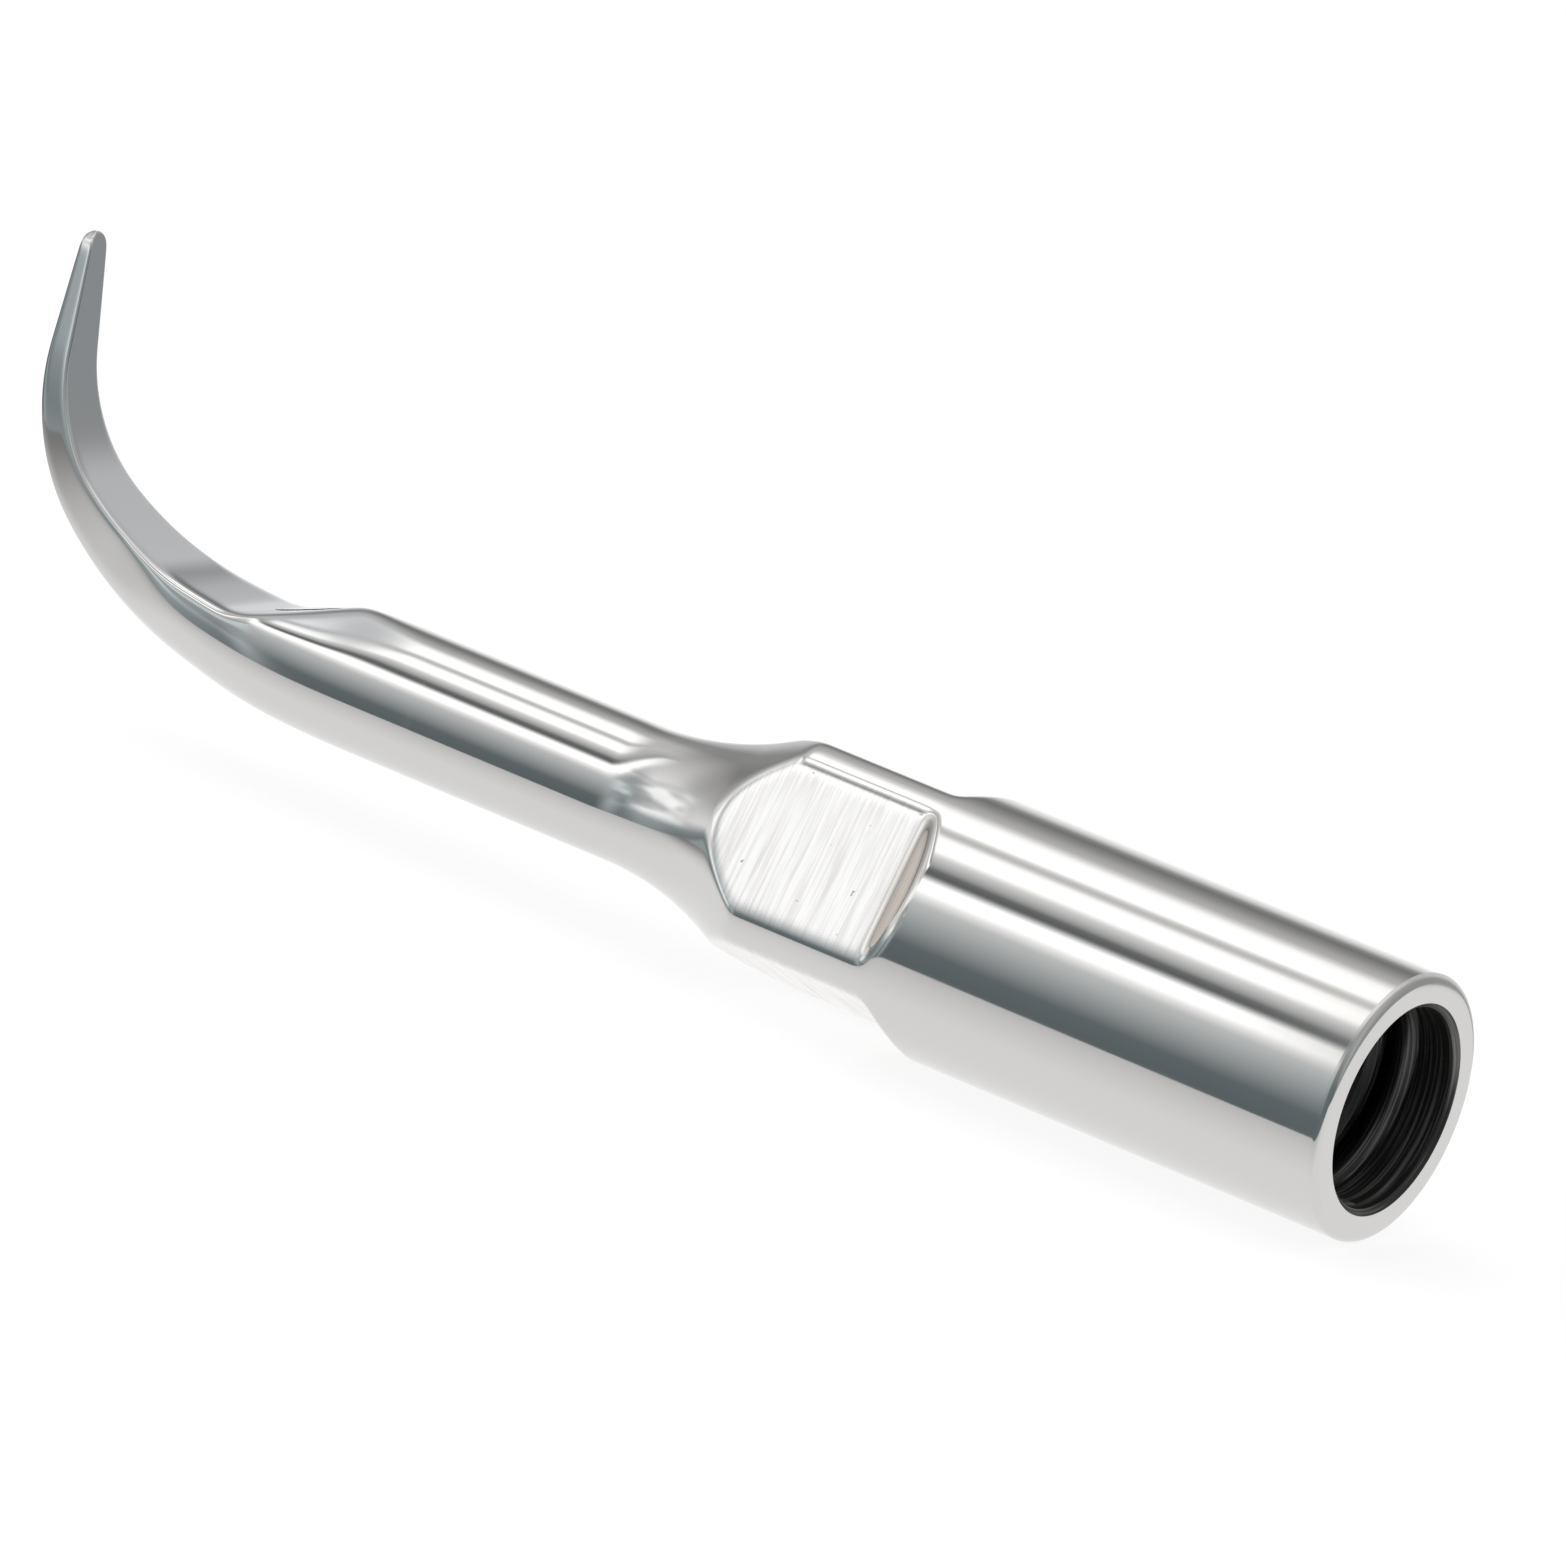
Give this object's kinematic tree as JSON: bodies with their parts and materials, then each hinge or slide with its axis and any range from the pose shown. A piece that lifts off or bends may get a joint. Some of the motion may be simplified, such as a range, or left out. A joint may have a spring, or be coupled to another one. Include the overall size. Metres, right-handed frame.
{
  "type": "ultrasonic scaler tip",
  "caption": "Slim polished steel scaler tip: internally threaded socket, wrench flats, flared neck, round shank and a ground, tapered end that hooks upward, for a powered dental handpiece.",
  "frame": {"origin": "centre of the threaded hole's mouth, in the plane of the rear face", "axes": "+X along the socket's axis towards the hook, +Z the way the hook bends"},
  "size_m": [0.0248, 0.004, 0.0068],
  "materials": {
    "polished_steel": "mirror-polished stainless steel",
    "brushed_flats": "stainless steel, milled flats with fine cross scratches and polished corners",
    "ground_steel": "stainless steel, polished back and satin ground face"
  },
  "bodies": {
    "root": {"threaded_socket": "polished_steel", "wrench_collar": "brushed_flats", "flared_neck": "polished_steel", "shank": "polished_steel", "working_tip": "ground_steel"}
  },
  "joints": []
}
